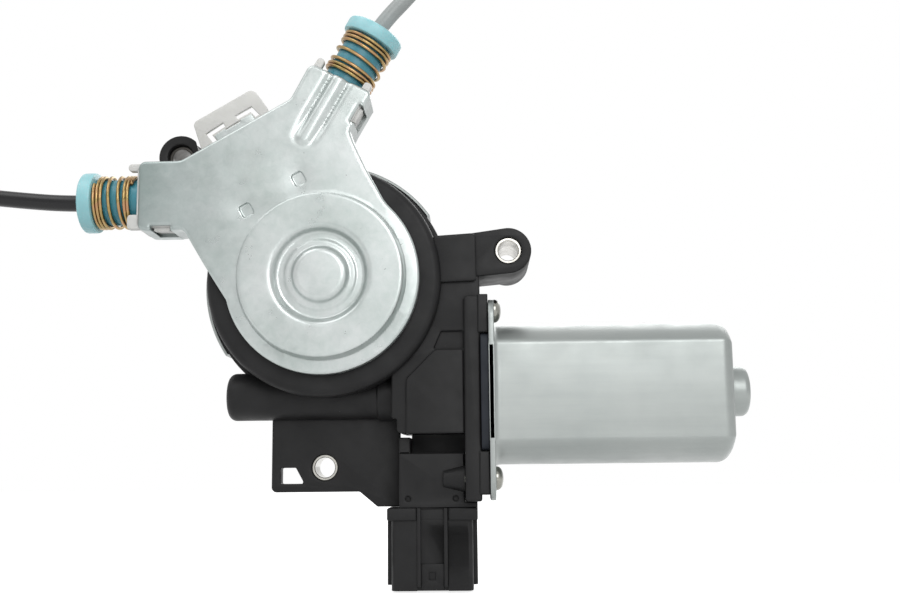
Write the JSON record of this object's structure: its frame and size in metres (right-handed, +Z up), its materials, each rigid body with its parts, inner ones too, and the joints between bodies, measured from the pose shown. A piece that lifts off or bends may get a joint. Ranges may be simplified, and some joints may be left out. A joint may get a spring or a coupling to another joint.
{
  "type": "window regulator drive unit",
  "caption": "Cable window regulator drive: worm-gear motor with a black housing, a cable drum under a stamped steel cover, and two Bowden conduits in spring-loaded plugs.",
  "frame": {"origin": "axis of the lower mounting sleeve, in the plane that the three sleeves stand on", "axes": "+X along the armature towards the motor's closed end, +Z up, -Y the front, where the stamped drum cover is"},
  "size_m": [0.2775, 0.0414, 0.2237],
  "materials": {
    "black_housing": "satin",
    "lid_steel": "satin",
    "zinc_screws": "satin",
    "sleeve_steel": "satin",
    "sintered_bronze": "matte",
    "seal_rubber": "matte",
    "hard_steel": "ground",
    "can_steel": "zinc plated",
    "ferrite": "matte",
    "gasket_grey": "matte",
    "card_plastic": "matte",
    "carbon": "matte",
    "spring_steel": "satin",
    "blade_tin": "bright",
    "white_nylon": "milky",
    "cover_steel": "zinc plated, faintly mottled",
    "gold_zinc": "yellow zinc plated",
    "drum_plastic": "satin",
    "cable_steel": "stranded",
    "wheel_plastic": "satin",
    "core_steel": "laminated",
    "copper": "enamelled",
    "blue_plug": "translucent blue",
    "conduit_black": "glossy",
    "conduit_grey": "satin",
    "fitting_black": "satin"
  },
  "bodies": {
    "drive_unit": {"gear_housing": "black_housing", "gear_cover": "lid_steel", "gear_cover_screws": "zinc_screws", "sleeve_lower": "sleeve_steel", "sleeve_left": "sleeve_steel", "sleeve_right": "sleeve_steel", "shaft_bush": "sintered_bronze", "shaft_seal": "seal_rubber", "end_bush": "sintered_bronze", "middle_bush": "sintered_bronze", "rear_bush": "sintered_bronze", "thrust_pad": "hard_steel", "motor_can": "can_steel", "magnets": "ferrite", "flange_screws": "zinc_screws", "flange_gasket": "gasket_grey", "brush_card": "card_plastic", "brushes": "carbon", "brush_springs": "spring_steel", "connector_module": "black_housing", "connector_blades": "blade_tin", "drum_housing": "white_nylon", "drum_cover": "cover_steel", "plug_spring_left": "gold_zinc", "plug_spring_upper": "gold_zinc"},
    "drum": {"cable_drum": "drum_plastic", "drum_cable": "cable_steel", "worm_wheel": "wheel_plastic", "damper": "seal_rubber", "drive_plate": "hard_steel", "output_shaft": "hard_steel"},
    "armature": {"worm_shaft": "hard_steel", "armature_core": "core_steel", "windings": "copper", "commutator": "copper"},
    "plug_left": {"cable_plug_left": "blue_plug", "inner_cable_left": "cable_steel", "conduit_left": "conduit_black", "end_fitting_left": "fitting_black", "cable_end_left": "cable_steel"},
    "plug_upper": {"cable_plug_upper": "blue_plug", "inner_cable_upper": "cable_steel", "conduit_upper": "conduit_grey", "end_fitting_upper": "fitting_black", "cable_end_upper": "cable_steel"}
  },
  "joints": [
    {"name": "drum_spin", "type": "hinge", "parent": "drive_unit", "child": "drum", "pos_m": [0.0012, 0, 0.0578], "axis": [0, 1, 0], "continuous": true},
    {"name": "armature_spin", "type": "hinge", "parent": "drive_unit", "child": "armature", "pos_m": [0.0012, -0.012, 0.0224], "axis": [1, 0, 0], "continuous": true},
    {"name": "plug_left_slide", "type": "slide", "parent": "drive_unit", "child": "plug_left", "axis": [1, 0, 0], "range_m": [0, 0.005], "stiffness_N_per_m": 300, "springref_m": -0.01, "deforming": ["plug_spring_left"]},
    {"name": "plug_upper_slide", "type": "slide", "parent": "drive_unit", "child": "plug_upper", "axis": [-0.4924, 0, -0.8704], "range_m": [0, 0.005], "stiffness_N_per_m": 300, "springref_m": -0.01, "deforming": ["plug_spring_upper"]}
  ],
  "couplings": [
    {"joint": "armature_spin", "follows": "drum_spin", "ratio": 60}
  ]
}
